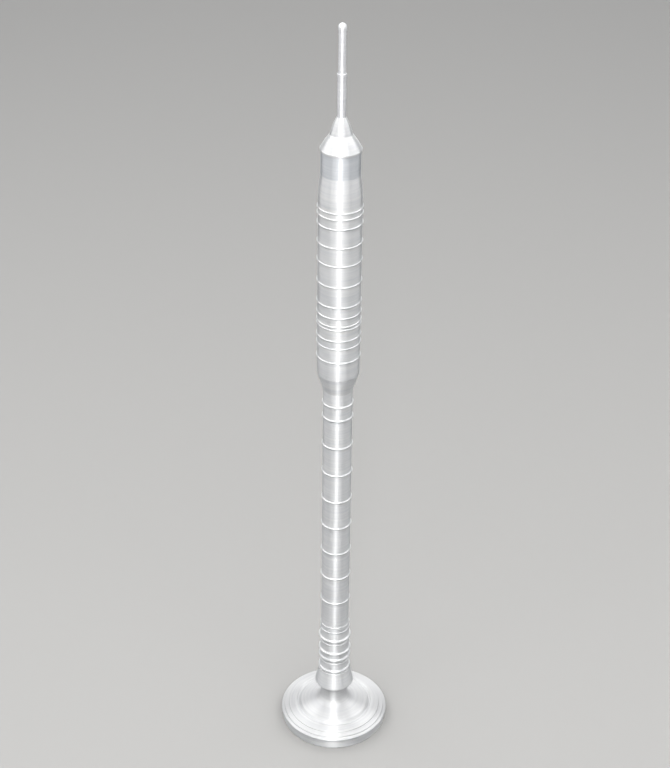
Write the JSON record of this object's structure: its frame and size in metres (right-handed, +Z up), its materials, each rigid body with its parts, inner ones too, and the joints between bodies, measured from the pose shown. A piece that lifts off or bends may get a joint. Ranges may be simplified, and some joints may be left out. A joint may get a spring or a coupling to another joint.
{
  "type": "ring mandrel",
  "caption": "Free-standing stepped ring mandrel: a round stepped foot, a slim beaded barrel, a thicker beaded barrel, a conical nose and a telescoping pin.",
  "frame": {"origin": "centre of the foot's underside, on the surface that it stands on", "axes": "+Z up along the turning axis, from the foot to the pin's tip; -Y faces the viewer of the picture"},
  "size_m": [0.0478, 0.0478, 0.33],
  "materials": {
    "turned_aluminium": "bright turned, fine circumferential lines",
    "bright_steel": "drawn and polished",
    "zinc_steel": "zinc plated",
    "brass": "plain machined",
    "pad_rubber": "matte"
  },
  "bodies": {
    "column": {"foot": "turned_aluminium", "foot_pad": "pad_rubber", "foot_washer": "zinc_steel", "foot_lock_washer": "zinc_steel", "foot_screw": "zinc_steel", "ferrule": "turned_aluminium", "beaded_collar": "turned_aluminium", "lower_barrel": "turned_aluminium", "joint_stud": "zinc_steel", "reducer": "turned_aluminium", "upper_barrel": "turned_aluminium", "shoulder": "turned_aluminium"},
    "sleeve": {"pin_sleeve": "bright_steel"},
    "nose": {"nose_cap": "turned_aluminium", "retaining_ring": "brass"},
    "grip": {"friction_sleeve": "brass"},
    "pin": {"pin_rod": "bright_steel", "pin_tip": "bright_steel"}
  },
  "joints": [
    {"name": "nose_lift", "type": "slide", "parent": "column", "child": "sleeve", "axis": [0, 0, 1], "range_m": [0, 0.009]},
    {"name": "nose_turn", "type": "hinge", "parent": "sleeve", "child": "nose", "pos_m": [0, 0, 0.277], "axis": [0, 0, 1], "range_deg": [0, 3240]},
    {"name": "pin_slide", "type": "slide", "parent": "sleeve", "child": "grip", "axis": [0, 0, 1], "range_m": [-0.0143, 0]},
    {"name": "pin_turn", "type": "hinge", "parent": "grip", "child": "pin", "pos_m": [0, 0, 0.307], "axis": [0, 0, 1], "continuous": true}
  ],
  "couplings": [
    {"joint": "nose_turn", "follows": "nose_lift", "rad_per_m": 6283.2}
  ]
}
